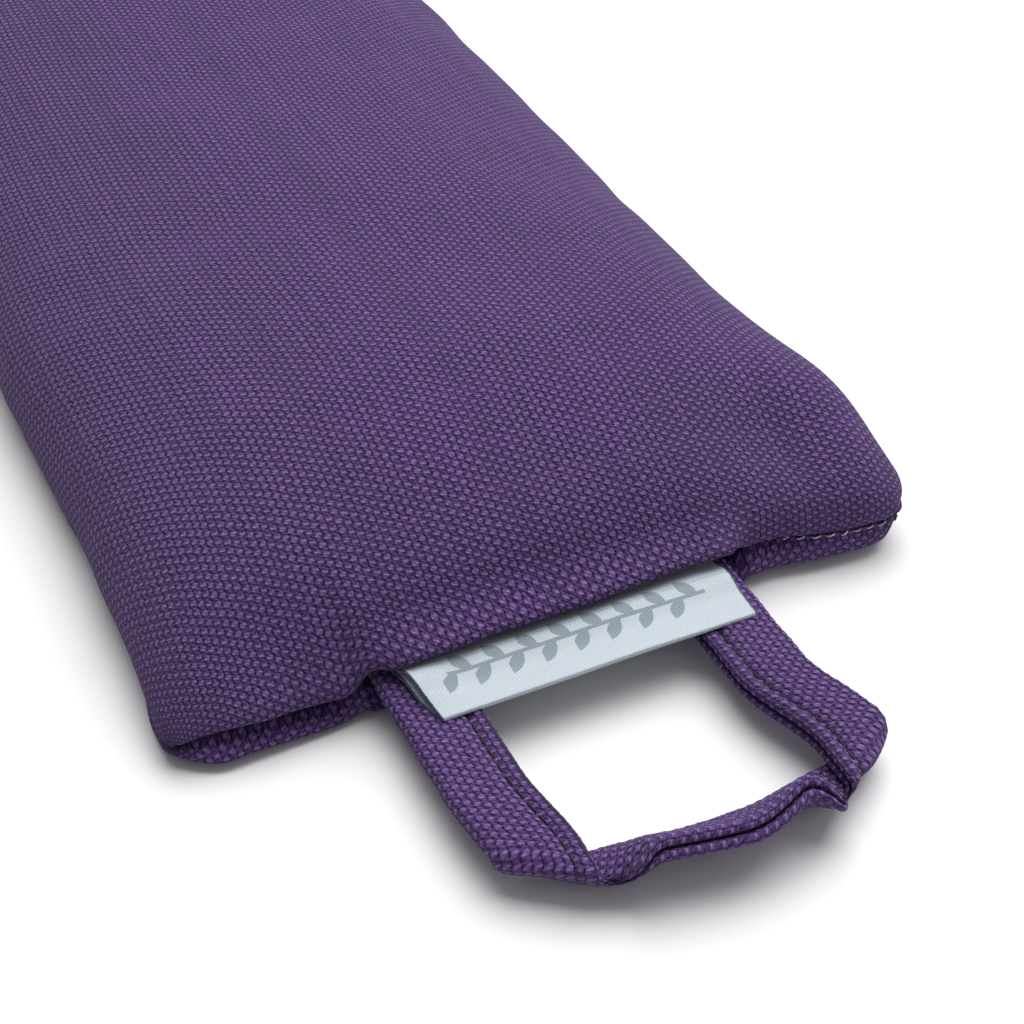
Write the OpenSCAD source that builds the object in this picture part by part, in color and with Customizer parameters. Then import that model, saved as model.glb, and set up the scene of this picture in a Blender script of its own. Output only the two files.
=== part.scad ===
// Eye pillow: a seed-filled canvas bag with a sewn-in hang loop and a folded woven label.
// Frame: X across the pillow, Y along it with the hang loop at the -Y end, Z up from the rest face.
// Origin: centre of the flat patch of the lower panel that the pillow rests on.

/* [Pillow] */
// Length of the cover, seam to seam
pillow_length = 230; // [180:1:300]
// Width of the cover, seam to seam
pillow_width = 102; // [90:1:130]
// Height of the crown above the table
crown_height = 26; // [20:0.5:34]
// Height of the edge seam above the table
seam_height = 5.2; // [4.8:0.1:7]
// Corner radius of the cover seen from above
corner_radius = 5; // [3:0.5:9]
// Fullness of the crown, 2 is elliptical and more is squarer
crown_fullness = 2.2; // [2:0.1:2.6]
// How far the underside takes to roll down from the seam to the table
underside_roll = 14; // [10:1:18]

/* [Cloth] */
// Thickness of the cover canvas
canvas_thickness = 0.9; // [0.7:0.1:1]
// Cover cloth turned inward at the seam
seam_allowance = 6; // [5.8:0.1:6.2]
// Gap between the two turned-in edges, which the seam thread fills
seam_gap = 0.6; // [0.5:0.05:0.7]
// Thickness of the muslin of the inner bag
muslin_thickness = 0.5; // [0.4:0.1:0.6]
// Distance of the inner bag's wall from the cover's seam line
inner_bag_inset = 10.5; // [10.5:0.5:13]
// Muslin left outside the inner bag's seam
inner_bag_allowance = 3.8; // [2.5:0.1:3.8]

/* [Filling] */
// Clearance between the seed and the muslin
fill_clearance = 0.3; // [0.2:0.1:0.5]
// Number of lavender buds
bud_count = 24; // [8:1:40]
// Diameter of a lavender bud
bud_diameter = 3.2; // [2:0.1:3.6]

/* [Hang loop] */
// Outer width across the two legs
loop_outer_width = 50; // [48:1:56]
// How far the loop stands out from the end seam
loop_reach = 42; // [38:1:48]
// Width of the folded strap
strap_width = 10; // [9:0.5:10.5]
// Thickness of the folded strap
strap_thickness = 3; // [2.4:0.1:3.2]
// Radius of the two far corners along the strap's middle
loop_corner_radius = 8; // [7:0.5:9]
// How far the strap turns over on its side at the far end, in degrees
strap_turn = 148; // [110:1:155]

/* [Label] */
// Width of the label along the seam
label_width = 44; // [40:0.5:46]
// How far the label hangs out from the seam
label_reach = 11; // [10:0.5:12]
// Thickness of the folded label
label_thickness = 1; // [0.8:0.1:1.1]
// Drop of the label's free edge
label_drop = 0.3; // [0:0.1:0.4]

/* [Stitching] */
// Diameter of the sewing threads
thread_diameter = 0.45; // [0.3:0.05:0.45]
// Length of one topstitch
stitch_length = 2.3; // [1.8:0.1:2.6]
// Pitch of the topstitches
stitch_pitch = 3; // [2.8:0.1:4]
// Distance of the topstitch line from the strap's open edge
topstitch_margin = 2.2; // [1.8:0.1:2.8]

/* [Hidden] */

$fn = 32;
purple = [0.34, 0.27, 0.47];
natural = [0.88, 0.84, 0.74];
label_blue = [0.76, 0.81, 0.85];

half_width = pillow_width / 2;
half_length = pillow_length / 2;
crown_inset = half_width - 3;       // leaves a narrow flat ridge along the crown
corner_steps = 8;                   // points round each corner of a ring
corner_opening = 0.45;              // how fast the corners round off towards the crown
cover_steps = 11;                   // steps of the curved profile of the cover
inner_steps = 7;                    // steps of the curved profile of the inner pieces
cloth_clearance = 0.3;              // least distance between two layers of cloth
seam_inset = 1;                     // distance of the cover's stitch line from its seam edge

// The loop and the label bend on one line just outside the end seam.
bend_out = 4;
bend_y = -half_length - bend_out;
bend_z = seam_height - 0.4;
stub_out = 0.4;                     // how far the sewn ends show outside the seam
sewn_depth = 5;                     // how far the sewn ends run inside the seam
label_gap = 0.45;                   // clearance of the label over the strap and its stitches
label_z = bend_z + strap_thickness / 2 + label_gap;

// The loop's middle line: a leg, a corner, the far bar, a corner and a leg.
leg_x = (loop_outer_width - strap_width) / 2;
bar_lean = strap_width / 2 * abs(cos(strap_turn)) + strap_thickness / 2 * abs(sin(strap_turn));
bar_out = loop_reach - bend_out - bar_lean;
leg_run = bar_out - loop_corner_radius;
corner_run = loop_corner_radius * PI / 2;
bar_run = 2 * (leg_x - loop_corner_radius);
loop_run = 2 * leg_run + 2 * corner_run + bar_run;
twist_lead = 8;                     // the strap starts to turn over this far before a corner
loop_stations = 56;

inner_bag_flat = inner_bag_inset + 8;
inner_bag_top = crown_height - canvas_thickness - 2 * cloth_clearance;
inner_bag_floor = canvas_thickness + cloth_clearance;

// ---------- Lofts ----------

// Closed solid through a list of rings with equal numbers of points
module loft(rings) {
    n = len(rings[0]);
    last = len(rings) - 1;
    polyhedron(
        points = [for (r = rings) each r],
        faces = concat(
            [[for (i = [0:n - 1]) i]],
            [[for (i = [n - 1:-1:0]) last * n + i]],
            [for (j = [0:last - 1], i = [0:n - 1])
                let (k = (i + 1) % n) [j * n + i, (j + 1) * n + k, j * n + k]],
            [for (j = [0:last - 1], i = [0:n - 1])
                let (k = (i + 1) % n) [j * n + i, (j + 1) * n + i, (j + 1) * n + k]]),
        convexity = 6);
}

// A rounded rectangle at height z, moved in from the cover's seam line by inset
function ring(inset, z) =
    let (a = half_width - inset,
         b = half_length - inset,
         r = min(corner_radius + corner_opening * inset, a - 0.4))
    [for (c = [0:3], k = [0:corner_steps - 1])
        let (turn = 90 * c + 90 * k / (corner_steps - 1),
             side_x = (c == 0 || c == 3) ? 1 : -1,
             side_y = c < 2 ? 1 : -1)
        [side_x * (a - r) + r * cos(turn), side_y * (b - r) + r * sin(turn), z]];

// Solid of stacked rings from a section, a list of [inset, z]
module bag(section) {
    loft([for (s = section) ring(s[0], s[1])]);
}

// Curved profile from a wall at [wall, foot] to a flat part at [flat, head]
function bulge(wall, flat, foot, head, steps) =
    [for (i = [0:steps])
        let (t = 90 * i / steps)
        [flat - (flat - wall) * pow(cos(t), 2 / crown_fullness),
         foot + (head - foot) * pow(sin(t), 2 / crown_fullness)]];

function reversed(list) = [for (i = [len(list) - 1:-1:0]) list[i]];

// Section of one cover panel: its inside, its turned-in edge, its outside.
// side is 1 for the upper panel and -1 for the lower one.
function cover_section(side, flat, head) =
    let (foot = seam_height + side * seam_gap / 2,
         inner_foot = foot + side * canvas_thickness)
    concat(
        reversed(bulge(canvas_thickness, flat, inner_foot, head - side * canvas_thickness,
                       cover_steps - 1)),
        [[seam_allowance, inner_foot], [seam_allowance, foot]],
        bulge(0, flat, foot, head, cover_steps));

// Section of one muslin panel, whose edge is left on the outside
function muslin_section(side, flat, head) =
    let (foot = seam_height + side * seam_gap / 2,
         outer_foot = foot + side * muslin_thickness,
         edge = inner_bag_inset - inner_bag_allowance)
    concat(
        reversed(bulge(inner_bag_inset + muslin_thickness, flat, foot,
                       head - side * muslin_thickness, inner_steps)),
        [[edge, foot], [edge, outer_foot]],
        bulge(inner_bag_inset, flat, outer_foot, head, inner_steps));

// ---------- Sewn-in ends, and the room they take in the seam ----------

module strap_ends(grow) {
    depth = sewn_depth + stub_out + 2 * grow;
    for (side = [-1, 1])
        translate([side * leg_x - strap_width / 2 - grow,
                   -half_length - stub_out - grow,
                   bend_z - strap_thickness / 2 - grow])
            cube([strap_width + 2 * grow, depth, strap_thickness + 2 * grow]);
}

module label_ends(grow) {
    translate([-label_width / 2 - grow, -half_length - stub_out - grow, label_z - grow / 2])
        cube([label_width + 2 * grow, sewn_depth + stub_out + 2 * grow, label_thickness + grow]);
}

// ---------- Threads ----------

module thread_along_x(length) {
    rotate([0, 90, 0])
        cylinder(h = length, d = thread_diameter, center = true);
}

module thread_along_y(length) {
    rotate([90, 0, 0])
        cylinder(h = length, d = thread_diameter, center = true);
}

// Quarter turn of thread round the corner on the side_x, side_y side
module thread_corner(inset, side_x, side_y) {
    r = corner_radius + corner_opening * inset;
    start = side_y > 0 ? (side_x > 0 ? 0 : 90) : (side_x > 0 ? 270 : 180);
    translate([side_x * (half_width - inset - r), side_y * (half_length - inset - r), seam_height])
        rotate([0, 0, start])
            rotate_extrude(angle = 90)
                translate([r, 0])
                    circle(d = thread_diameter);
}

module thread_sides(inset) {
    r = corner_radius + corner_opening * inset;
    for (side = [-1, 1])
        translate([side * (half_width - inset), 0, seam_height])
            thread_along_y(2 * (half_length - inset - r));
}

module thread_end(inset, side_y) {
    r = corner_radius + corner_opening * inset;
    translate([0, side_y * (half_length - inset), seam_height])
        thread_along_x(2 * (half_width - inset - r));
}

// ---------- Hang loop ----------

// Place on the loop's middle line after a run of s: [x, distance out from the bend, heading]
function loop_place(s) =
    s > loop_run / 2
        ? let (m = loop_place(loop_run - s)) [-m[0], m[1], -m[2]]
    : s < leg_run
        ? [-leg_x, s, -90]
    : s < leg_run + corner_run
        ? let (a = 90 * (s - leg_run) / corner_run)
          [-leg_x + loop_corner_radius * (1 - cos(a)),
           leg_run + loop_corner_radius * sin(a), a - 90]
    : [s - leg_run - corner_run - leg_x + loop_corner_radius, bar_out, 0];

function smooth(t) = let (c = max(0, min(1, t))) c * c * (3 - 2 * c);

// How far the strap has turned over on its side
function loop_turn(s) =
    let (m = min(s, loop_run - s))
    strap_turn * smooth((m - leg_run + twist_lead) / (corner_run + 2 * twist_lead));

// Height of the middle of the strap: it comes down from the seam and lies on the table
function loop_height(s) =
    let (m = min(s, loop_run - s),
         turn = loop_turn(s),
         lying = strap_width / 2 * abs(sin(turn)) + strap_thickness / 2 * abs(cos(turn)) + 0.1,
         k = smooth(m / leg_run))
    max(lying, bend_z * (1 - k) + lying * k);

// Point of the strap: u across it towards the open edge, v up through it
function loop_point(s, u, v) =
    let (p = loop_place(s),
         turn = loop_turn(s),
         sideways = u * cos(turn) - v * sin(turn))
    [p[0] - sin(p[2]) * sideways,
     bend_y - p[1] + cos(p[2]) * sideways,
     loop_height(s) + u * sin(turn) + v * cos(turn)];

// Section of the folded strap: rounded fold on one edge, two plies with a gap on the other
strap_section =
    let (a = strap_width / 2, b = strap_thickness / 2, fold = 0.7, slit = 0.2)
    [[-a, fold - b], [fold - a, -b], [a, -b], [a, -slit], [a - 2 * fold, 0],
     [a, slit], [a, b], [fold - a, b], [-a, b - fold]];

// One topstitch at run s, on the face side (1 for the upper face, -1 for the lower)
module topstitch(s, face) {
    u = strap_width / 2 - topstitch_margin;
    v = face * (strap_thickness / 2 + 0.05);
    from = loop_point(s - stitch_length / 2, u, v);
    to = loop_point(s + stitch_length / 2, u, v);
    d = to - from;
    translate(from)
        rotate([0, acos(d[2] / norm(d)), atan2(d[1], d[0])])
            cylinder(h = norm(d), d = thread_diameter);
}

// ---------- Sub-parts ----------

module cover_top_panel() {
    color(purple)
        difference() {
            bag(cover_section(1, crown_inset, crown_height));
            strap_ends(cloth_clearance);
            label_ends(cloth_clearance);
        }
}

module cover_bottom_panel() {
    color(purple)
        difference() {
            bag(reversed(cover_section(-1, underside_roll, 0)));
            strap_ends(cloth_clearance);
        }
}

module side_seam_thread() {
    color("indigo")
        union() {
            thread_sides(seam_inset);
            thread_end(seam_inset, 1);
            for (side_x = [-1, 1], side_y = [-1, 1])
                thread_corner(seam_inset, side_x, side_y);
        }
}

module end_seam_thread() {
    color("thistle")
        thread_end(seam_inset, -1);
}

module inner_bag_top_panel() {
    color(natural)
        bag(muslin_section(1, crown_inset, inner_bag_top));
}

module inner_bag_bottom_panel() {
    color(natural)
        bag(reversed(muslin_section(-1, inner_bag_flat, inner_bag_floor)));
}

module inner_bag_seam_thread() {
    inset = inner_bag_inset - inner_bag_allowance / 2;
    color("white")
        union() {
            thread_sides(inset);
            thread_end(inset, 1);
            thread_end(inset, -1);
            for (side_x = [-1, 1], side_y = [-1, 1])
                thread_corner(inset, side_x, side_y);
        }
}

// Bud number i, spread along a sunflower spiral over the middle of the fill
module lavender_bud(i, diameter) {
    reach = sqrt((i + 0.5) / bud_count);
    turn = 137.5 * i;
    spread = [0.55 * half_width, 0.72 * half_length];
    layer_height = 2.2;
    lowest = 7;
    translate([spread[0] * reach * cos(turn), spread[1] * reach * sin(turn),
               lowest + layer_height * (i % 4)])
        sphere(d = diameter);
}

module flaxseed_fill() {
    skin = muslin_thickness + fill_clearance;
    wall = inner_bag_inset + skin;
    under = bulge(wall, inner_bag_flat, seam_height, inner_bag_floor + skin, inner_steps);
    over = bulge(wall, crown_inset, seam_height, inner_bag_top - skin, inner_steps);
    color("saddlebrown")
        difference() {
            bag(concat(reversed(under), [for (i = [1:inner_steps]) over[i]]));
            for (i = [0:bud_count - 1])
                lavender_bud(i, bud_diameter + 2 * fill_clearance);
        }
}

module lavender_buds() {
    color("mediumpurple")
        for (i = [0:bud_count - 1])
            lavender_bud(i, bud_diameter);
}

module hang_loop_sewn_ends() {
    color(purple)
        difference() {
            strap_ends(0);
            translate([0, -half_length + seam_inset, seam_height])
                rotate([0, 90, 0])
                    cylinder(h = pillow_width, d = thread_diameter + 0.2, center = true);
        }
}

module hang_loop() {
    color(purple)
        loft([for (i = [0:loop_stations])
                let (s = loop_run * i / loop_stations)
                [for (q = strap_section) loop_point(s, q[0], q[1])]]);
}

module loop_topstitch_thread() {
    count = floor((loop_run - stitch_pitch) / stitch_pitch);
    start = (loop_run - (count - 1) * stitch_pitch) / 2;
    color("black")
        for (i = [0:count - 1], face = [-1, 1])
            topstitch(start + i * stitch_pitch, face);
}

module label_sewn_ends() {
    color(label_blue)
        label_ends(0);
}

module label() {
    fold = -half_length - label_reach;
    t = label_thickness;
    slit = 0.06;                    // half of the gap between the label's two plies
    color(label_blue)
        translate([0, 0, label_z])
            rotate([90, 0, 90])
                linear_extrude(label_width, center = true)
                    polygon([
                        [bend_y, 0], [bend_y, t / 2 - slit],
                        [fold + t, t / 2 - slit - label_drop], [fold + t, t / 2 + slit - label_drop],
                        [bend_y, t / 2 + slit], [bend_y, t],
                        [fold + t / 2, t - label_drop], [fold, 0.7 * t - label_drop],
                        [fold, 0.3 * t - label_drop], [fold + t / 2, -label_drop]
                    ]);
}

cover_top_panel();
cover_bottom_panel();
side_seam_thread();
end_seam_thread();
inner_bag_top_panel();
inner_bag_bottom_panel();
inner_bag_seam_thread();
flaxseed_fill();
lavender_buds();
hang_loop_sewn_ends();
hang_loop();
loop_topstitch_thread();
label_sewn_ends();
label();
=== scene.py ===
"""Eye pillow: the cloth, seams, hang loop and label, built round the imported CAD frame."""
import math

import bpy
import numpy as np
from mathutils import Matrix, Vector


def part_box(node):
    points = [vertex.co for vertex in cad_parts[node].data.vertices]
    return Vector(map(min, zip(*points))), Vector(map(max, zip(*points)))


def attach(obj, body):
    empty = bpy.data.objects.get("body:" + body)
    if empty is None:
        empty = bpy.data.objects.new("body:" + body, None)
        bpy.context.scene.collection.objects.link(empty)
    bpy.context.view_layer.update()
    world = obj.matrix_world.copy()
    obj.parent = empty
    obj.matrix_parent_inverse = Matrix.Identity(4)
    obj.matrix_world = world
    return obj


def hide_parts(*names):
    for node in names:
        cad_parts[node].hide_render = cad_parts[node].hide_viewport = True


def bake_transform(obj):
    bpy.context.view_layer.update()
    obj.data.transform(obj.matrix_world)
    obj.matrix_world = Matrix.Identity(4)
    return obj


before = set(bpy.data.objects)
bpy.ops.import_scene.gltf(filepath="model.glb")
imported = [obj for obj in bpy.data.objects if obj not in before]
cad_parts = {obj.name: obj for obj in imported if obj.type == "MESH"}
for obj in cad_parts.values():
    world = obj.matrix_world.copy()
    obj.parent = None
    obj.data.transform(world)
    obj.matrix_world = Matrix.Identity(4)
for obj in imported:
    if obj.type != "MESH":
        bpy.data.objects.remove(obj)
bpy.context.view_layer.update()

MM = 0.001


# ---------- Measures, from the frame, in millimetres ----------

def box_mm(node):
    low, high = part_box(node)
    return np.array(low) / MM, np.array(high) / MM


_, top_high = box_mm("cover_top_panel")
loop_low, loop_high = box_mm("hang_loop")
label_low, label_high = box_mm("label")

HALF_WIDTH = top_high[0]
HALF_LENGTH = top_high[1]
CROWN = top_high[2]
NEAR_END = -HALF_LENGTH
BEND_Y = loop_high[1]
LOOP_FAR_Y = loop_low[1]
STRAP_WIDTH = 10.0
STRAP_THICKNESS = 3.0
LEG_X = loop_high[0] - STRAP_WIDTH / 2
BEND_Z = box_mm("hang_loop_sewn_ends")[0][2] + STRAP_THICKNESS / 2
LABEL_HALF = label_high[0]
LABEL_FOLD_Y = label_low[1]

YARN_U = 0.95           # spacing of the yarns across the cloth
YARN_V = 0.68           # spacing of the yarns along the cloth
CANVAS = 0.9            # thickness of the canvas
FLOOR_Z = -0.03         # height of the staging floor


# ---------- Camera ----------

def make_camera():
    azimuth = math.radians(-25.26)
    elevation = math.radians(40.18)
    distance = 254.8 * MM
    aim = Vector((6.15 * MM, (NEAR_END + 26.8) * MM, 0))
    back = Vector((math.sin(azimuth) * math.cos(elevation),
                   -math.cos(azimuth) * math.cos(elevation),
                   math.sin(elevation)))
    data = bpy.data.cameras.new("camera")
    data.sensor_width = 36
    data.lens = 65.1
    data.clip_start = 0.01
    camera = bpy.data.objects.new("camera", data)
    camera.rotation_mode = "QUATERNION"
    camera.location = aim + back * distance
    camera.rotation_quaternion = (-back).to_track_quat("-Z", "Y")
    bpy.context.collection.objects.link(camera)
    bpy.context.scene.camera = camera


make_camera()


# ---------- Mesh helpers ----------

def mesh_object(name, points, quads, uv, triangles):
    """Object from points in millimetres, quads and triangles; uv is one (u, v) in metres for each point."""
    loops = np.concatenate([quads.ravel(), triangles.ravel()]).astype(np.int32)
    starts = np.concatenate([np.arange(len(quads)) * 4, len(quads) * 4 + np.arange(len(triangles)) * 3])
    mesh = bpy.data.meshes.new(name)
    mesh.vertices.add(len(points))
    mesh.vertices.foreach_set("co", (points * MM).astype(np.float32).ravel())
    mesh.loops.add(len(loops))
    mesh.loops.foreach_set("vertex_index", loops)
    mesh.polygons.add(len(starts))
    mesh.polygons.foreach_set("loop_start", starts.astype(np.int32))
    mesh.polygons.foreach_set("use_smooth", np.full(len(starts), True))
    mesh.update(calc_edges=True)
    layer = mesh.uv_layers.new(name="cloth")
    layer.data.foreach_set("uv", uv[loops].astype(np.float32).ravel())
    mesh.validate()
    obj = bpy.data.objects.new(name, mesh)
    bpy.context.collection.objects.link(obj)
    return obj


def grid_quads(rows, columns, start=0, wrap=False, flip=False):
    """Quads of a grid of points stored row by row; wrap joins the last column to the first."""
    last = columns if wrap else columns - 1
    r, c = np.meshgrid(np.arange(rows - 1), np.arange(last), indexing="ij")
    d = (c + 1) % columns
    quads = np.stack([r * columns + c, r * columns + d, (r + 1) * columns + d, (r + 1) * columns + c], -1)
    quads = quads.reshape(-1, 4) + start
    return quads[:, ::-1] if flip else quads


def grid_normals(points):
    """Unit normals of a (rows, columns, 3) grid."""
    along = np.gradient(points, axis=0)
    across = np.gradient(points, axis=1)
    n = np.cross(across, along)
    return n / np.maximum(np.linalg.norm(n, axis=-1, keepdims=True), 1e-9)


def tube(points, uv=None):
    """Closed part from a (rings, places round the ring, 3) grid, capped at both ends."""
    rows, columns = points.shape[:2]
    flat = points.reshape(-1, 3)
    k = np.arange(columns)
    after = (k + 1) % columns
    end = (rows - 1) * columns
    caps = np.concatenate([np.stack([after, k, np.full(columns, rows * columns)], -1),
                           np.stack([end + k, end + after, np.full(columns, rows * columns + 1)], -1)])
    points = np.concatenate([flat, flat[:columns].mean(0)[None], flat[-columns:].mean(0)[None]])
    return points, grid_quads(rows, columns, wrap=True), uv, caps


def shell(outer, inner, u, v):
    """Closed part between two grids of points, with the cloth's own coordinates u and v in millimetres."""
    rows, columns = outer.shape[:2]
    n = rows * columns
    uv = np.stack([u.ravel(), v.ravel()], -1) * MM
    rim = np.concatenate([np.arange(columns), np.arange(1, rows) * columns + columns - 1,
                          (rows - 1) * columns + np.arange(columns - 2, -1, -1),
                          np.arange(rows - 2, 0, -1) * columns])
    after = np.roll(rim, -1)
    quads = np.concatenate([grid_quads(rows, columns), grid_quads(rows, columns, n, flip=True),
                            np.stack([rim, rim + n, after + n, after], -1)])
    points = np.concatenate([outer.reshape(-1, 3), inner.reshape(-1, 3)])
    return points, quads, np.concatenate([uv, uv]), np.zeros((0, 3), int)


def join_parts(name, parts):
    """One object from several closed parts, each turned outward."""
    points, quads, uvs, triangles, count = [], [], [], [], 0
    for p, q, uv, t in parts:
        corner = [p[q[:, k]] for k in range(4)]
        volume = (corner[0] * np.cross(corner[1], corner[2])
                  + corner[0] * np.cross(corner[2], corner[3])).sum()
        if volume < 0:
            q, t = q[:, ::-1], t[:, ::-1]
        points.append(p)
        quads.append(q + count)
        triangles.append(t + count)
        uvs.append(np.zeros((len(p), 2)) if uv is None else uv)
        count += len(p)
    return mesh_object(name, np.concatenate(points), np.concatenate(quads), np.concatenate(uvs),
                       np.concatenate(triangles))


def smooth_step(t):
    t = np.clip(t, 0, 1)
    return t * t * (3 - 2 * t)


def bump(x, centre, width):
    return np.exp(-((x - centre) / width) ** 2)


def value_noise(x, y, size, seed):
    """Smooth noise from -1 to 1, with features of about the given size."""
    table = np.random.default_rng(seed).uniform(-1, 1, (64, 64))
    px, py = x / size, y / size
    ix, iy = np.floor(px).astype(int), np.floor(py).astype(int)
    fx, fy = smooth_step(px - ix), smooth_step(py - iy)
    at = lambda a, b: table[a % 64, b % 64]
    low = at(ix, iy) * (1 - fx) + at(ix + 1, iy) * fx
    high = at(ix, iy + 1) * (1 - fx) + at(ix + 1, iy + 1) * fx
    return low * (1 - fy) + high * fy


def weave_height(u, v):
    """Height of a plain weave, 0 in the pits to 1 on the crowns, at yarn counts u and v."""
    fu, fv = u - np.floor(u) - 0.5, v - np.floor(v) - 0.5
    sign = np.cos(np.pi * (np.floor(u) + np.floor(v)))
    warp = 0.30 * np.cos(np.pi * fv) * sign + 0.70 * (1 - 9 * fu ** 4)
    weft = -0.20 * np.cos(np.pi * fu) * sign + 0.44 * (1 - 12 * fv ** 4)
    return np.maximum(warp, weft)


# ---------- Materials ----------

class Graph:
    """Short calls that add nodes to one material."""

    def __init__(self, name):
        self.material = bpy.data.materials.new(name)
        self.material.use_nodes = True
        self.tree = self.material.node_tree
        self.tree.nodes.clear()
        self.shader = self.add("ShaderNodeBsdfPrincipled")
        output = self.add("ShaderNodeOutputMaterial")
        self.link(self.shader.outputs[0], output.inputs[0])

    def add(self, kind):
        return self.tree.nodes.new(kind)

    def link(self, a, b):
        self.tree.links.new(a, b)

    def feed(self, socket, value):
        if isinstance(value, bpy.types.NodeSocket):
            self.link(value, socket)
        else:
            socket.default_value = value

    def math(self, operation, a, b=0.0, clamp=False):
        node = self.add("ShaderNodeMath")
        node.operation = operation
        node.use_clamp = clamp
        self.feed(node.inputs[0], a)
        self.feed(node.inputs[1], b)
        return node.outputs[0]

    def choose(self, mask, a, b):
        """a where mask is 1, b where it is 0."""
        return self.math("ADD", self.math("MULTIPLY", mask, a),
                         self.math("MULTIPLY", self.math("SUBTRACT", 1.0, mask), b))

    def mix(self, share, a, b, kind="MIX"):
        node = self.add("ShaderNodeMix")
        node.data_type = "RGBA"
        node.blend_type = kind
        self.feed(node.inputs["Factor"], share)
        self.feed(node.inputs[6], a)
        self.feed(node.inputs[7], b)
        return node.outputs[2]

    def ramp(self, value, *stops):
        """Colour ramp through (position, colour) stops."""
        node = self.add("ShaderNodeValToRGB")
        elements = node.color_ramp.elements
        while len(elements) < len(stops):
            elements.new(0.5)
        for element, (position, colour) in zip(elements, stops):
            element.position = position
            element.color = (*colour, 1)
        self.feed(node.inputs[0], value)
        return node.outputs[0]

    def noise(self, vector, scale, detail=2.0, roughness=0.5):
        node = self.add("ShaderNodeTexNoise")
        self.link(vector, node.inputs["Vector"])
        node.inputs["Scale"].default_value = scale
        node.inputs["Detail"].default_value = detail
        node.inputs["Roughness"].default_value = roughness
        return node.outputs["Fac"]

    def random(self, value):
        node = self.add("ShaderNodeTexWhiteNoise")
        node.noise_dimensions = "1D"
        self.link(value, node.inputs["W"])
        return node.outputs["Value"]

    def place(self):
        node = self.add("ShaderNodeTexCoord")
        return node.outputs["Object"]

    def cloth(self):
        """The cloth's own two coordinates, in metres, and the pair as a vector."""
        node = self.add("ShaderNodeUVMap")
        node.uv_map = "cloth"
        parts = self.add("ShaderNodeSeparateXYZ")
        self.link(node.outputs[0], parts.inputs[0])
        return parts.outputs[0], parts.outputs[1], node.outputs[0]

    def vector(self, x, y, z=0.0):
        node = self.add("ShaderNodeCombineXYZ")
        for socket, value in zip(node.inputs, (x, y, z)):
            self.feed(socket, value)
        return node.outputs[0]

    def bump(self, height, distance, strength=1.0):
        node = self.add("ShaderNodeBump")
        node.inputs["Distance"].default_value = distance
        node.inputs["Strength"].default_value = strength
        self.link(height, node.inputs["Height"])
        return node.outputs[0]

    def finish(self, colour, roughness, normal=None, sheen=0.0, specular=0.3):
        s = self.shader.inputs
        self.feed(s["Base Color"], colour)
        self.feed(s["Roughness"], roughness)
        s["Sheen Weight"].default_value = sheen
        s["Sheen Roughness"].default_value = 0.45
        s["Specular IOR Level"].default_value = specular
        if normal is not None:
            self.link(normal, s["Normal"])
        return self.material


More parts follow.
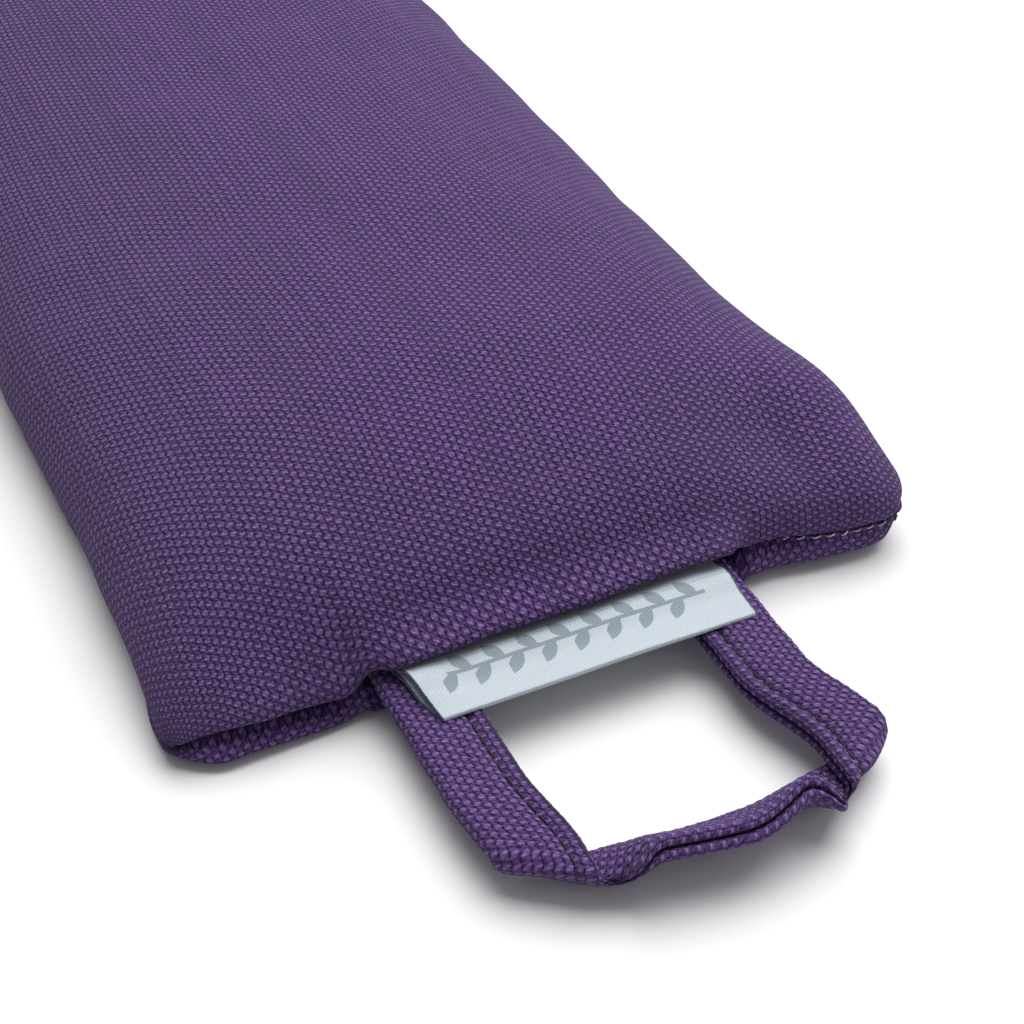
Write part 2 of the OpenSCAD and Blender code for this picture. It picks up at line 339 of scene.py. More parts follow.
def canvas_material(name, relief, waver):
    """Purple plain-weave canvas: crowned yarns with painted shade in the pits and painted highlights on the
    crowns, ply twist, heather and fuzz.
    """
    g = Graph(name)
    u_m, v_m, pair = g.cloth()
    wobble = g.math("SUBTRACT", g.noise(pair, 180, 4, 0.6), 0.5)
    wobble_b = g.math("SUBTRACT", g.noise(g.vector(v_m, u_m, 0.3), 180, 4, 0.6), 0.5)
    u = g.math("ADD", g.math("DIVIDE", u_m, YARN_U * MM), g.math("MULTIPLY", wobble, waver))
    v = g.math("ADD", g.math("DIVIDE", v_m, YARN_V * MM), g.math("MULTIPLY", wobble_b, waver))
    i, j = g.math("FLOOR", u), g.math("FLOOR", v)
    fu = g.math("SUBTRACT", g.math("FRACT", u), 0.5)
    fv = g.math("SUBTRACT", g.math("FRACT", v), 0.5)
    sign = g.math("COSINE", g.math("MULTIPLY", g.math("ADD", i, j), math.pi))

    def yarn(along, across, wave_height, crown_height, fall):
        wave = g.math("MULTIPLY", g.math("COSINE", g.math("MULTIPLY", along, math.pi)), sign)
        fourth = g.math("POWER", g.math("ABSOLUTE", across), 4.0)
        crown = g.math("SUBTRACT", 1.0, g.math("MULTIPLY", fourth, fall))
        return g.math("ADD", g.math("MULTIPLY", wave, wave_height), g.math("MULTIPLY", crown, crown_height))

    warp, weft = yarn(fv, fu, 0.30, 0.70, 9.0), yarn(fu, fv, -0.20, 0.44, 12.0)
    height = g.math("MAXIMUM", warp, weft)
    warp_up = g.math("GREATER_THAN", warp, weft)
    across = g.choose(warp_up, fu, fv)
    along = g.choose(warp_up, fv, fu)
    own = g.choose(warp_up, g.random(i), g.random(g.math("ADD", j, 0.37)))
    ply = g.math("SINE", g.math("ADD", g.math("MULTIPLY", own, 6.28),
                                g.math("ADD", g.math("MULTIPLY", along, 8.2),
                                       g.math("MULTIPLY", across, 6.4))))
    streak = g.noise(g.vector(g.math("MULTIPLY", across, 5.0), along,
                              g.math("ADD", i, g.math("MULTIPLY", j, 3.1))),
                     2.2, 3, 0.6)
    fuzz = g.noise(pair, 5200, 3, 0.65)
    relief_height = g.math("ADD", height, g.math("ADD", g.math("MULTIPLY", ply, 0.09),
                                                 g.math("MULTIPLY", fuzz, 0.40)))
    # The colour follows the weave's height and twist: painted shade in the pits between yarns, painted
    # highlight on the yarn crowns, and painted light and shade along the ply twist.
    tone = g.math("ADD", g.math("MULTIPLY", height, 0.86),
                  g.math("ADD", g.math("MULTIPLY", ply, 0.10),
                         g.math("ADD", g.math("MULTIPLY", g.math("SUBTRACT", streak, 0.5), 0.70),
                                g.math("MULTIPLY", g.math("SUBTRACT", fuzz, 0.5), 0.65))))
    colour = g.ramp(tone,
                    (0.22, (0.001, 0.000, 0.003)), (0.36, (0.020, 0.008, 0.046)),
                    (0.48, (0.074, 0.036, 0.136)), (0.80, (0.136, 0.076, 0.234)),
                    (1.00, (0.280, 0.192, 0.395)))
    heather = g.math("ADD", 0.92, g.math("MULTIPLY", own, 0.16))
    patch = g.math("ADD", 0.93, g.math("MULTIPLY", g.noise(pair, 60, 3), 0.14))
    shade = g.math("MULTIPLY", heather, patch)
    grey = g.vector(shade, shade, shade)
    colour = g.mix(1.0, colour, grey, "MULTIPLY")
    normal = g.bump(relief_height, relief * MM)
    return g.finish(colour, g.math("ADD", 0.72, g.math("MULTIPLY", fuzz, 0.25)), normal, 0.05, 0.15)


def thread_material(name, dark, light, sheen=0.15):
    """Twisted sewing thread."""
    g = Graph(name)
    place = g.place()
    twist = g.noise(place, 2400, 2)
    colour = g.ramp(twist, (0.3, dark), (0.7, light))
    return g.finish(colour, g.math("ADD", 0.5, g.math("MULTIPLY", twist, 0.3)), g.bump(twist, 0.00008), sheen)


def muslin_material():
    """Unbleached muslin, woven finer and looser than the cover."""
    g = Graph("muslin")
    place = g.place()
    parts = g.add("ShaderNodeSeparateXYZ")
    g.link(place, parts.inputs[0])
    waves = [g.math("SINE", g.math("MULTIPLY", parts.outputs[k], 2 * math.pi / (0.5 * MM))) for k in (0, 1)]
    cloth = g.math("MULTIPLY", waves[0], waves[1])
    colour = g.ramp(g.math("ADD", g.math("MULTIPLY", cloth, 0.3), g.noise(place, 700, 3)),
                    (0.2, (0.50, 0.45, 0.34)), (0.8, (0.78, 0.73, 0.61)))
    return g.finish(colour, 0.85, g.bump(cloth, 0.00008), 0.2)


def seed_material():
    """A heap of flaxseed: flat glossy ovals at random angles."""
    g = Graph("flaxseed")
    cells = g.add("ShaderNodeTexVoronoi")
    g.link(g.place(), cells.inputs["Vector"])
    cells.inputs["Scale"].default_value = 420
    # Darker towards each seed's edge and near black in the gaps between seeds: painted shade in the gaps.
    colour = g.ramp(cells.outputs["Distance"],
                    (0.0, (0.26, 0.12, 0.045)), (0.45, (0.15, 0.060, 0.024)), (0.75, (0.020, 0.008, 0.004)))
    colour = g.mix(0.25, colour, cells.outputs["Color"], "OVERLAY")
    height = g.math("SUBTRACT", 1.0, cells.outputs["Distance"])
    return g.finish(colour, g.math("ADD", 0.22, g.math("MULTIPLY", cells.outputs["Distance"], 0.4)),
                    g.bump(height, 0.0006), 0, 0.5)


def lavender_material():
    """Dried lavender bud: ribbed, matt, grey violet."""
    g = Graph("lavender")
    place = g.place()
    ribs = g.math("SINE", g.math("MULTIPLY", g.noise(place, 900, 2), 20.0))
    colour = g.ramp(g.noise(place, 1500, 3), (0.3, (0.07, 0.06, 0.13)), (0.7, (0.24, 0.20, 0.34)))
    return g.finish(colour, g.math("ADD", 0.8, g.math("MULTIPLY", ribs, 0.1)), g.bump(ribs, 0.0001), 0.3)


def label_material():
    """Satin-woven ribbon with a woven row of leaves in a darker, duller thread."""
    g = Graph("label_satin")
    u_m, v_m, pair = g.cloth()
    diagonal = g.math("ADD", g.math("DIVIDE", u_m, 0.26 * MM), g.math("DIVIDE", v_m, 0.19 * MM))
    twill = g.math("SINE", g.math("MULTIPLY", diagonal, math.pi))
    picks = g.math("SINE", g.math("DIVIDE", v_m, 0.19 * MM / (2 * math.pi)))
    ends = g.math("SINE", g.math("DIVIDE", u_m, 0.15 * MM / (2 * math.pi)))
    satin = g.math("ADD", g.math("MULTIPLY", twill, 0.6),
                   g.math("ADD", g.math("MULTIPLY", picks, 0.25), g.math("MULTIPLY", ends, 0.15)))
    fibre = g.noise(pair, 6500, 2)
    motif = leaf_row(g, u_m, v_m)
    ground = g.ramp(g.math("ADD", g.math("MULTIPLY", satin, 0.20), fibre),
                    (0.25, (0.36, 0.41, 0.46)), (0.75, (0.56, 0.625, 0.68)))
    dull = g.ramp(g.math("ADD", g.math("MULTIPLY", satin, 0.25), fibre),
                  (0.25, (0.17, 0.21, 0.25)), (0.75, (0.31, 0.37, 0.42)))
    colour = g.mix(motif, ground, dull)
    cut = g.math("GREATER_THAN", g.math("ADD", g.math("ABSOLUTE", u_m), g.math("MULTIPLY", fibre, 0.5 * MM)),
                 (LABEL_HALF + 0.02) * MM)
    colour = g.mix(cut, colour, (0.045, 0.06, 0.12, 1))
    roughness = g.choose(motif, 0.75, 0.46)
    height = g.math("SUBTRACT", g.math("MULTIPLY", satin, 0.25), g.math("MULTIPLY", motif, 0.6))
    return g.finish(colour, roughness, g.bump(height, 0.00009), 0.25, 0.45)


def leaf_row(g, u_m, v_m):
    """Mask of a plain sprig: one stem with a leaf on each side at every step."""
    step, steps, stem_v, lean, leaf_half = 4.4, 4, 5.35, 0.72, 1.85
    u = g.math("DIVIDE", u_m, MM)
    v = g.math("SUBTRACT", g.math("DIVIDE", v_m, MM), stem_v)
    side = g.math("SIGN", v)
    height = g.math("ABSOLUTE", v)
    cells = g.math("ADD", g.math("DIVIDE", u, step), g.math("MULTIPLY", side, 0.25))
    local = g.math("MULTIPLY", g.math("SUBTRACT", g.math("FRACT", cells), 0.5), step)
    cross = math.sqrt(1 - lean ** 2)
    along = g.math("ADD", g.math("MULTIPLY", height, lean), g.math("MULTIPLY", local, -cross))
    across = g.math("ADD", g.math("MULTIPLY", height, cross), g.math("MULTIPLY", local, lean))
    t = g.math("DIVIDE", g.math("SUBTRACT", along, leaf_half), leaf_half + 0.05)
    width = g.math("MULTIPLY", g.math("SUBTRACT", 1.0, g.math("MULTIPLY", t, t)), 0.88)
    leaf = g.math("LESS_THAN", g.math("ABSOLUTE", across), width)
    row = g.math("LESS_THAN", g.math("ABSOLUTE", g.math("SUBTRACT", g.math("FLOOR", cells), -0.5)), steps)
    stem = g.math("MULTIPLY", g.math("LESS_THAN", height, 0.24),
                  g.math("LESS_THAN", g.math("ABSOLUTE", u), steps * step))
    return g.math("MAXIMUM", g.math("MULTIPLY", leaf, row), stem)


def floor_material():
    g = Graph("floor")
    tone = g.noise(g.place(), 40, 2)
    colour = g.ramp(tone, (0.3, (0.86, 0.86, 0.86)), (0.7, (0.88, 0.88, 0.88)))
    return g.finish(colour, 0.8, None, 0, 0.2)


COVER_CANVAS = canvas_material("cover_canvas", 0.50, 1.0)
STRAP_CANVAS = canvas_material("strap_canvas", 0.30, 0.2)
PURPLE_THREAD = thread_material("purple_thread", (0.045, 0.026, 0.10), (0.10, 0.065, 0.18))
PALE_THREAD = thread_material("pale_thread", (0.30, 0.25, 0.38), (0.62, 0.55, 0.70))
BLACK_THREAD = thread_material("black_thread", (0.004, 0.004, 0.005), (0.02, 0.018, 0.024))
WHITE_THREAD = thread_material("muslin_thread", (0.62, 0.60, 0.54), (0.85, 0.83, 0.78))
MUSLIN = muslin_material()
SEED = seed_material()
LAVENDER = lavender_material()
LABEL_SATIN = label_material()


# ---------- Cover: two canvas panels, filled from inside, meeting in a sunk seam ----------

FULLNESS = 2.35         # of the crown's profile: 2 is elliptical, more is squarer
END_DEPTH = 44          # the crown reaches its full height this far from an end
CREASE = 1.1            # how far the seam is drawn in behind the cloth above and below it
CORNER = 3.5            # radius of the cover's corners, seen from above
ROLL = 6.0              # how far in the underside leaves the table
TURNED_IN = (1.4, 4.5)  # rows of cloth that turn in behind the seam


def profile(inset, depth):
    """Height from 0 at the edge to 1 at depth and beyond."""
    x = 1 - np.clip(inset / depth, 0, 1)
    return (1 - x ** FULLNESS) ** (1 / FULLNESS)


def arc_table(half, depth, height, steps=4000):
    """Run along the cloth from the middle to the edge, with the place and height factor there."""
    turn = np.linspace(0, math.pi / 2, steps)
    place = half - depth + depth * np.sin(turn) ** (2 / FULLNESS)
    factor = np.cos(turn) ** (2 / FULLNESS)
    factor[-1] = 0
    if depth < half:
        place = np.concatenate([[0], place])
        factor = np.concatenate([[1], factor])
    run = np.concatenate([[0], np.cumsum(np.hypot(np.diff(place), height * np.diff(factor)))])
    return run, place, factor


def spread_cells(half_run, count, edge_share):
    """Positions from -half_run to half_run, packed a little closer near the edges."""
    t = np.linspace(-1, 1, count)
    return half_run * (t * (1 - edge_share) + np.sin(t * math.pi / 2) * edge_share)


def round_corners(x, y, half_x, half_y):
    """Plan corners drawn in to a radius."""
    p = np.clip((np.abs(x) - (half_x - CORNER)) / CORNER, 0, 1)
    q = np.clip((np.abs(y) - (half_y - CORNER)) / CORNER, 0, 1)
    return (x - np.sign(x) * CORNER * p * (1 - np.sqrt(1 - q * q / 2)),
            y - np.sign(y) * CORNER * q * (1 - np.sqrt(1 - p * p / 2)))


def seam_z(x, y):
    """Height of the seam: halfway up the ends, and low enough to hide under the filled sides."""
    return (4.3 + 0.9 * profile(HALF_WIDTH - np.abs(x), 30)
            - 2.6 * smooth_step((HALF_LENGTH - np.abs(y)) / 16)
            - 2.5 * smooth_step((-25 - x) / 4) * (1 - 0.45 * smooth_step((-30 - x) / 14))
            * smooth_step((-HALF_LENGTH + 14 - y) / 12))


def side_shift(x, y):
    """Shift in x of the filled sides: outward on the right, and on the left mainly past 35 mm."""
    middle = smooth_step((HALF_LENGTH - np.abs(y) - 12) / 50)
    right = smooth_step(0.5 + x / HALF_WIDTH / 1.6)
    from_end = y + HALF_LENGTH
    return (right * (0.5 - 0.15 * middle + 0.5 * bump(from_end, 35, 12) + 0.5 * bump(from_end, 2, 6))
            + (1 - right) * (-1.2 * smooth_step((from_end - 35) / 40) - 0.4 * bump(from_end, 9, 9)))


def end_shift(x):
    """How far the closing seam stands out of line at the near end's right-hand part."""
    return 1.3 * smooth_step((x - 28) / 14)


def crease_at(x):
    """Depth of the near end's crease: deep on the left, pulled almost flat towards the right-hand corner."""
    return CREASE * (1 - 0.75 * smooth_step((x - 33) / 12) + 1.5 * smooth_step((-27 - x) / 5)
                     + bump(x, 29, 5))


def strap_room(x):
    """1 over the sewn-in ends of the hang loop, 0 beside them."""
    return smooth_step((STRAP_WIDTH / 2 + 1.6 - np.abs(np.abs(x) - LEG_X)) / 1.2)


def label_room(x):
    return smooth_step((LABEL_HALF + 1.2 - np.abs(x)) / 1.2)


def cover_panel(name, side):
    """One panel as a closed cloth shell; side is 1 for the upper one and -1 for the lower one."""
    columns, rows = 150, 290
    if side > 0:
        depth_x, depth_y, height = HALF_WIDTH, END_DEPTH, CROWN - 6
    else:
        depth_x, depth_y, height = ROLL, ROLL, 6.0
    run_x, place_x, factor_x = arc_table(HALF_WIDTH, depth_x, height)
    run_y, place_y, factor_y = arc_table(HALF_LENGTH, depth_y, height)
    u = spread_cells(run_x[-1], columns, 0.35)
    v = spread_cells(run_y[-1], rows, 0.2)
    x = np.sign(u) * np.interp(np.abs(u), run_x, place_x)
    y = np.sign(v) * np.interp(np.abs(v), run_y, place_y)
    hx = np.interp(np.abs(u), run_x, factor_x)
    hy = np.interp(np.abs(v), run_y, factor_y)
    edge_x = run_x[-1] - np.abs(u)
    edge_y = run_y[-1] - np.abs(v)

    extra = np.array(TURNED_IN)
    pad = len(extra)
    wide = lambda a, fill: np.concatenate([np.full(pad, fill[0]), a, np.full(pad, fill[1])])
    u_all = np.concatenate([u[0] - extra[::-1], u, u[-1] + extra])
    v_all = np.concatenate([v[0] - extra[::-1], v, v[-1] + extra])
    tuck_x = np.concatenate([extra[::-1], np.zeros(columns), extra])[None, :]
    tuck_y = np.concatenate([extra[::-1], np.zeros(rows), extra])[:, None]
    X0, Y0 = np.meshgrid(wide(x, (x[0], x[-1])), wide(y, (y[0], y[-1])))
    HX, HY = np.meshgrid(wide(hx, (0, 0)), wide(hy, (0, 0)))
    EX, EY = np.meshgrid(wide(edge_x, (0, 0)), wide(edge_y, (0, 0)))
    U, V = np.meshgrid(u_all, v_all)

    seam = seam_z(X0, Y0)
    H = HX * HY
    X = X0 + side_shift(X0, Y0)
    Y = Y0 - end_shift(X0) * np.exp(-(Y0 + HALF_LENGTH) / 10)
    if side > 0:
        Z = seam + (CROWN - seam) * H
    else:
        Z = seam * (1 - H)
    X, Y = round_corners(X, Y, HALF_WIDTH, HALF_LENGTH)
    points = np.stack([X, Y, Z], -1)

    near_edge = np.minimum(EX, EY)
    fade = smooth_step(near_edge / 9)
    normals = grid_normals(points)
    seed = 3 if side > 0 else 5
    lumps = (0.55 * value_noise(U + 300, V + 300, 24, seed)
             + 0.22 * value_noise(U + 300, V + 300, 10, seed + 1))
    gathers = gather_ripples(U, V, EX, EY, seed)
    push = lumps * fade * (1 if side > 0 else 0.0) + gathers
    if side > 0:
        push = push + near_end_marks(X0, Y0, EX) * smooth_step(np.minimum(EX, EY) / 4)
    else:
        push = push * smooth_step(Z / 1.5)
    points = points + normals * push[..., None]

    # The seam is drawn in behind the cloth on both sides of it.
    under = smooth_step((HALF_LENGTH - np.abs(Y0) - 3) / 12)
    draw = (CREASE + 0.9 * under) * np.exp(-EX / (1.5 + 0.8 * under))
    if side < 0:
        # Known fault: this does not fade out inward, so the two middle columns cross over at x = 0.
        draw = np.maximum(draw, 1.6 * under)
    points[..., 0] -= np.sign(X0) * draw
    draw = np.where(Y0 < 0, crease_at(X0), CREASE) * np.exp(-EY / 1.2)
    points[..., 1] -= np.sign(Y0) * draw

    # At the near end the upper panel hangs over the label and the lower one rolls out below the seam.
    if side > 0:
        hang = 3.6 - 1.1 * smooth_step((X0 - 2) / 16)
        hang = (hang * smooth_step((27 - np.abs(X0)) / 6)
                + 1.5 * smooth_step((-23 - X0) / 5) * smooth_step((X0 + 49) / 12))
        points[..., 1] -= hang * bump(EY, 2.9, 2.8) * (Y0 < 0)
    else:
        out = (2.4 - 0.5 * bump(np.abs(X0), 26, 7) + 0.2 * bump(X0, -40, 10)
               - 0.9 * smooth_step((X0 - 20) / 10))
        reach = out * smooth_step((HALF_WIDTH - np.abs(X0)) / 7)
        points[..., 1] -= reach * bump(EY, 3.6, 2.4) * (Y0 < 0)

    # At the near end the cloth makes room for the strap and the label.
    near = np.exp(-(EY / 5) ** 2) * (Y0 < 0)
    if side > 0:
        ceiling = np.maximum(strap_room(X0) * (BEND_Z + STRAP_THICKNESS / 2 + 0.1),
                             label_room(X0) * (LABEL_TOP + 0.1))
        lift = np.maximum(ceiling - (seam + 0.05), 0) * near
        points[..., 2] += lift
    else:
        floor_ = BEND_Z - STRAP_THICKNESS / 2 - 0.1
        points[..., 2] -= np.maximum(seam - floor_, 0) * strap_room(X0) * near

    points[..., 0] -= np.sign(X0) * tuck_x
    points[..., 1] -= np.sign(Y0) * tuck_y
    tucked = np.maximum(tuck_x, tuck_y) > 0
    points[..., 2] += side * np.where(tucked, 0.10, 0.06)

    outer = points
    inward = -grid_normals(outer) * side * CANVAS
    # Behind the seam the cloth lies flat, so its thickness goes straight into the bag.
    flat = np.zeros_like(inward)
    flat[..., 2] = side * CANVAS
    weight = np.where(tucked, 1.0, np.exp(-near_edge / 1.2))[..., None]
    inward = inward * (1 - weight) + flat * weight
    inner = outer + inward
    return join_parts(name, [shell(outer, inner, U, V)])


def gather_ripples(U, V, EX, EY, seed):
    """Small puckers that run in from each seam, where the flat cloth is drawn together."""
    end = value_noise(U + 300, V * 0.15 + 300, 4.2, seed + 10) * np.exp(-EY / 6.0) * smooth_step(EY / 1.2)
    side = value_noise(V + 300, U * 0.15 + 300, 6.5, seed + 20) * np.exp(-EX / 6.0) * smooth_step(EX / 1.2)
    return 0.42 * end + 0.28 * side


def near_end_marks(X, Y, EX):
    """Shapes of this pillow's near end: a full right-hand shoulder with a hollow before its corner."""
    from_end = Y + HALF_LENGTH
    shoulder = 4.0 * (X > 0) * bump(EX, 12, 11) * bump(from_end, 15, 14)
    hollow = -2.2 * bump(X, 37, 8) * bump(from_end, 8, 7)
    slack = -0.8 * bump(X, -38, 12) * bump(from_end, 5, 5)
    return shoulder + hollow + slack


LABEL_THICKNESS = 0.85
LABEL_BOTTOM = BEND_Z + STRAP_THICKNESS / 2 + 0.05
LABEL_TOP = LABEL_BOTTOM + LABEL_THICKNESS

top_panel = cover_panel("cover_top_cloth", 1)
top_panel.data.materials.append(COVER_CANVAS)
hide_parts("cover_top_panel")
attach(top_panel, "pillow")

bottom_panel = cover_panel("cover_bottom_cloth", -1)
bottom_panel.data.materials.append(COVER_CANVAS)
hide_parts("cover_bottom_panel")
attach(bottom_panel, "pillow")


# ---------- Hang loop: a strip folded lengthwise, sewn near its open edge ----------

ROLL_RADIUS = 1.75                  # the strap rolls under at each far corner, as a folded ribbon turns
BAR_TILT = math.radians(49)         # the far bar leans with its open edge up and outward
BAR_LEAN = STRAP_WIDTH / 2 * math.cos(BAR_TILT) + STRAP_THICKNESS / 2 * math.sin(BAR_TILT)
BAR_OUT = BEND_Y - LOOP_FAR_Y - BAR_LEAN
HALF_ROLL = math.pi * ROLL_RADIUS / math.sqrt(2)
LEG_RUN = BAR_OUT - HALF_ROLL
LOOP_RUN = 2 * (LEG_X + LEG_RUN + HALF_ROLL)
CORNER_Z = STRAP_THICKNESS / 2 + 2 * ROLL_RADIUS + 0.1
TAIL_RUN = 8.5                      # strap inside the seam, before the bend line
STITCH_U = STRAP_WIDTH / 2 - 2.2    # place of the topstitch across the strap
STITCH_PITCH = 2.3
PLY_GAP = 0.16                      # half of the slit between the plies at the open edge
FACE = STRAP_THICKNESS / 2 - 0.12   # the faces' height at the edges of the strap


def loop_points(s, u, v):
    """Places at runs s along the strap, u across it towards its open edge and v above its middle."""
    s, u, v = np.broadcast_arrays(s, u, v)
    right = s > LOOP_RUN / 2
    m = np.where(right, LOOP_RUN - s, s)
    u = u * (1 - 0.04 * smooth_step((m - 3) / 6))
    # The flat ribbon goes on along the leg, and rolls under at a slanting line.
    t = (m - LEG_RUN - u) / math.sqrt(2)
    w = (m - LEG_RUN + u) / math.sqrt(2)
    turn = np.clip(t / ROLL_RADIUS, 0, math.pi)
    v = v * (1 - 0.16 * bump(m, LEG_RUN + HALF_ROLL / 2 + u, 4))
    bulge = ROLL_RADIUS * (1 - 0.35 * smooth_step(u / 5)) + v
    rolled = np.where(t < 0, t, np.where(turn < math.pi, np.sin(turn) * bulge, math.pi * ROLL_RADIUS - t))
    x = -LEG_X + (w - rolled) / math.sqrt(2)
    out = LEG_RUN + (w + rolled) / math.sqrt(2)
    leg_z = BEND_Z + (CORNER_Z - BEND_Z) * smooth_step(m / LEG_RUN)
    z = leg_z - ROLL_RADIUS + (ROLL_RADIUS + v) * np.cos(turn)
    # Past the corner the bar leans about its low edge.
    past = smooth_step((x + LEG_X - STRAP_WIDTH / 2 + 2) / 9) * smooth_step((turn / math.pi - 0.3) / 0.5)
    lean = BAR_TILT * past * (1 + 0.3 * right * smooth_step((LOOP_RUN / 2 - m) / 12))
    hinge = BAR_OUT - STRAP_WIDTH / 2 + 1
    low = STRAP_THICKNESS / 2
    o, h = out - hinge, z - low
    out = hinge + o * np.cos(lean) - h * np.sin(lean) + 0.7 * past
    z = low + o * np.sin(lean) + h * np.cos(lean)
    x = np.where(right, -x, x)
    # This loop leans to the right, and its bar bows outward between the corners.
    far = smooth_step((out - np.where(right, 14.5, 16)) / 14)
    x = x + np.where(right, -0.8 + 3.3 * far, 1.5 * far)
    out = out - (2.6 * smooth_step(np.abs(x - 5) / 18) - 1.8) * smooth_step((out - LEG_RUN + 6) / 9)
    # The rolled corners are drawn in: no part of the strap stands beyond a rounded outline.
    limit = (BAR_OUT + 7.3 - 0.0626 * np.abs(x - 4) ** 1.64 + 0.93 * (z - 2)
             - 2.9 * bump(x, 19, 5) - 3.0 * bump(x, -8, 3.5) - 1.2 * bump(x, -17, 5))
    room = 4.0
    over = np.maximum(out - limit + room, 0)
    out = out - over + room * np.tanh(over / room)
    return np.stack([x, BEND_Y - out, z], -1)


def strap_face(u):
    """Height of the strap's faces above its middle, at places u across it."""
    belly = 0.17 * np.cos(u / STRAP_WIDTH * math.pi) * (1 - bump(u, STITCH_U, 1.0))
    return FACE + belly - 0.42 * bump(u, STITCH_U, 0.5)


def strap_section():
    """Closed outline of the folded strip as (across, up) points, and the relief's share at each."""
    half = STRAP_WIDTH / 2
    lip = (FACE - PLY_GAP) / 2
    fold = 1.1
    u = np.linspace(half - lip, -half + fold, 52)
    top = np.stack([u, strap_face(u)], -1)
    turn = np.linspace(math.pi / 2, 3 * math.pi / 2, 16)[1:-1]
    edge = strap_face(np.array(-half + fold))
    round_fold = np.stack([-half + fold + fold * np.cos(turn), edge * np.sin(turn)], -1)
    turn = np.linspace(-math.pi / 2, math.pi / 2, 9)[1:]
    lip_low = np.stack([half - lip + lip * np.cos(turn), -PLY_GAP - lip + lip * np.sin(turn)], -1)
    inside = np.linspace(half - lip, STITCH_U + 0.45, 7)[1:]
    slit = np.stack([inside, -PLY_GAP * np.linspace(1, 0.15, 6)], -1)
    mirror = np.array([1, -1])
    outline = np.concatenate([top, round_fold, top[::-1] * mirror, lip_low, slit,
                              slit[::-1] * mirror, lip_low[::-1] * mirror])
    relief = np.concatenate([np.ones(len(top) * 2 + len(round_fold)), np.linspace(1, 0.4, 8),
                             np.zeros(12), np.linspace(0.4, 1, 8)])
    return outline, relief


def sweep(s, outline, push=0.0, uv_run=None):
    """Closed strip of the given outline swept along the strap's route; push moves its points outward."""
    ring = np.roll(outline, -1, -2) - np.roll(outline, 1, -2)
    ring = ring / np.maximum(np.linalg.norm(ring, axis=-1, keepdims=True), 1e-9)
    points = loop_points(s[:, None], outline[..., 0] + ring[..., 1] * push,
                         outline[..., 1] - ring[..., 0] * push)
    points[..., 2] = np.maximum(points[..., 2], 0.02)
    uv = None
    if uv_run is not None:
        uv = np.stack(np.broadcast_arrays(uv_run[None, :], s[:, None]), -1).reshape(-1, 2) * MM
        uv = np.concatenate([uv, uv[:1], uv[-1:]])
    return tube(points, uv)


def make_strap():
    outline, relief = strap_section()
    step = np.linalg.norm(np.diff(outline, axis=0), axis=1)
    run = np.concatenate([[0], np.cumsum(step)])
    s = np.arange(-TAIL_RUN, LOOP_RUN + TAIL_RUN + 0.1, 0.19)
    u, v = np.meshgrid(run, s)
    weave = weave_height(u / YARN_U, v / YARN_V)
    soft = 0.10 * value_noise(u + 50, v + 300, 5.0, 31) + 0.05 * value_noise(u + 50, v + 300, 2.0, 32)
    push = (0.22 * (weave - 0.75) + soft) * relief[None]
    return sweep(s, outline, push, run)


strap = join_parts("hang_strap", [make_strap()])
strap.data.materials.append(STRAP_CANVAS)
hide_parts("hang_loop", "hang_loop_sewn_ends")
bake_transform(strap)


# ---------- Label: a satin ribbon folded in half, its two ends in the seam over the strap ----------

LABEL_PLY = 0.34
LABEL_CUT_Y = BEND_Y + 0.5          # the ribbon is drawn as a sewn-in part and a free part
LABEL_ROOT_Y = NEAR_END + 4.6
FOLD_RADIUS = 0.20


def label_route(y, side):
    """Height of the middle of one ply: side is 1 for the upper and -1 for the lower."""
    out = np.clip((NEAR_END - y) / (NEAR_END - LABEL_FOLD_Y), 0, 1)
    arch = 0.75 * np.sin(np.clip(out * 1.5, 0, 1) * math.pi) ** 2
    fall = -0.2 * smooth_step(out * 1.1 - 0.1)
    gap = (0.22 + 0.16 * np.sin(out * math.pi)) * (1 - out ** 6) + FOLD_RADIUS * out ** 6
    return LABEL_BOTTOM + LABEL_THICKNESS / 2 + arch + fall + side * gap


def ribbon(route_y, route_z, run, upper):
    """Part that follows (y, z) across the label's width; upper is 1 on the upper ply and -1 on the lower."""
    x = np.linspace(-LABEL_HALF, LABEL_HALF, 121)
    tangent = np.stack([np.gradient(route_y), np.gradient(route_z)], -1)
    tangent /= np.linalg.norm(tangent, axis=1, keepdims=True)
    y, xs = np.meshgrid(route_y, x, indexing="ij")
    free = smooth_step((NEAR_END - y) / 5)
    wave = 0.22 * value_noise(xs + 60, y * 0.3 + 200, 11, 51) * free
    droop = -0.55 * smooth_step((xs - LABEL_HALF + 5) / 5) * (1 - free)
    out = np.clip((NEAR_END - y) / (NEAR_END - LABEL_FOLD_Y), 0, 1)
    left = smooth_step((-xs - LABEL_HALF + 7) / 7)
    curl = (0.45 + 0.35 * upper[:, None]) * (left * np.sin(out * math.pi) ** 2)
    aside = left * (0.35 * (0.5 - 0.5 * upper[:, None]) * np.sin(out * math.pi) + 0.9 - 2.3 * out)
    middle = np.stack([xs - aside, y, route_z[:, None] + wave + droop + curl], -1)
    half = np.zeros_like(middle)
    half[..., 1] = -tangent[:, 1, None] * LABEL_PLY / 2
    half[..., 2] = tangent[:, 0, None] * LABEL_PLY / 2
    return shell(middle + half, middle - half, xs, np.broadcast_to(run[:, None], y.shape))


